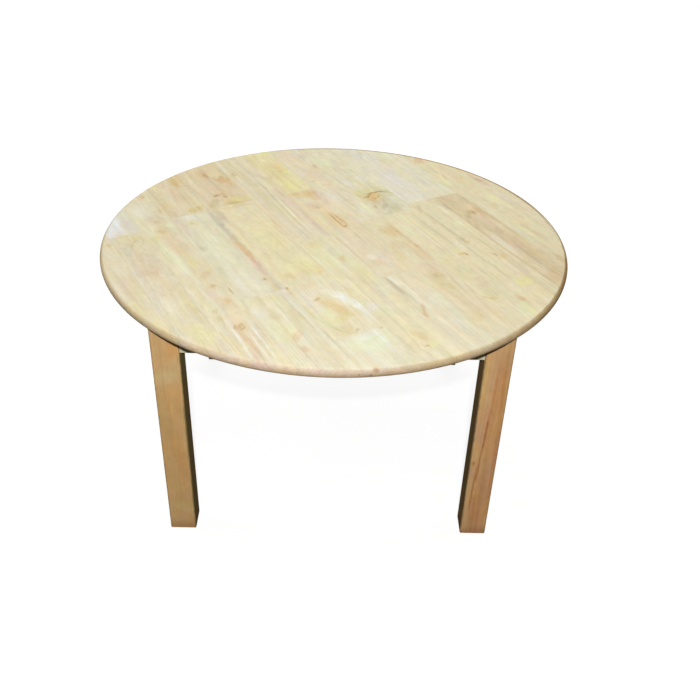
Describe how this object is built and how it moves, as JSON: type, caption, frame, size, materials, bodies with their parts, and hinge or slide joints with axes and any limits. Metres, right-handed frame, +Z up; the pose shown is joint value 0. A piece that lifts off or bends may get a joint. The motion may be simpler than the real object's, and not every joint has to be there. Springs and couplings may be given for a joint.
{
  "type": "low round table",
  "caption": "Low round wooden table: a rounded-edge disc glued up from pale staves, on a square rail frame with square legs bolted to corner blocks.",
  "frame": {"origin": "on the floor, under the centre of the round top", "axes": "+Z up through the centre of the top; X and Y square to the sides of the rail frame, with the pictured side towards -Y"},
  "size_m": [0.9, 0.9, 0.5],
  "materials": {
    "top_wood": "clear satin lacquer on pale edge-glued hardwood",
    "leg_wood": "clear satin lacquer on honey-coloured hardwood",
    "rail_wood": "clear satin lacquer on pale hardwood",
    "block_wood": "bare sanded hardwood",
    "zinc_steel": "bright zinc plating",
    "nylon": "matt moulded nylon"
  },
  "bodies": {
    "root": {"stave_a1": "top_wood", "stave_b1": "top_wood", "stave_b2": "top_wood", "stave_c1": "top_wood", "stave_c2": "top_wood", "stave_d1": "top_wood", "stave_d2": "top_wood", "stave_d3": "top_wood", "stave_e1": "top_wood", "stave_e2": "top_wood", "stave_e3": "top_wood", "stave_e4": "top_wood", "stave_f1": "top_wood", "stave_f2": "top_wood", "stave_g1": "top_wood", "stave_g2": "top_wood", "stave_g3": "top_wood", "stave_h1": "top_wood", "stave_h2": "top_wood", "stave_i1": "top_wood", "stave_i2": "top_wood", "stave_j1": "top_wood", "stave_j2": "top_wood", "stave_k1": "top_wood", "stave_k2": "top_wood", "stave_l1": "top_wood", "stave_m1": "top_wood", "leg_front_left": "leg_wood", "leg_front_right": "leg_wood", "leg_back_right": "leg_wood", "leg_back_left": "leg_wood", "rail_front": "rail_wood", "rail_right": "rail_wood", "rail_back": "rail_wood", "rail_left": "rail_wood", "corner_block_front_left": "block_wood", "corner_block_front_right": "block_wood", "corner_block_back_right": "block_wood", "corner_block_back_left": "block_wood", "glide_front_left": "nylon", "glide_front_right": "nylon", "glide_back_right": "nylon", "glide_back_left": "nylon", "hanger_bolts": "zinc_steel", "bolt_washers": "zinc_steel", "bolt_nuts": "zinc_steel", "block_screws": "zinc_steel", "top_screws": "zinc_steel", "glide_nails": "zinc_steel"}
  },
  "joints": []
}
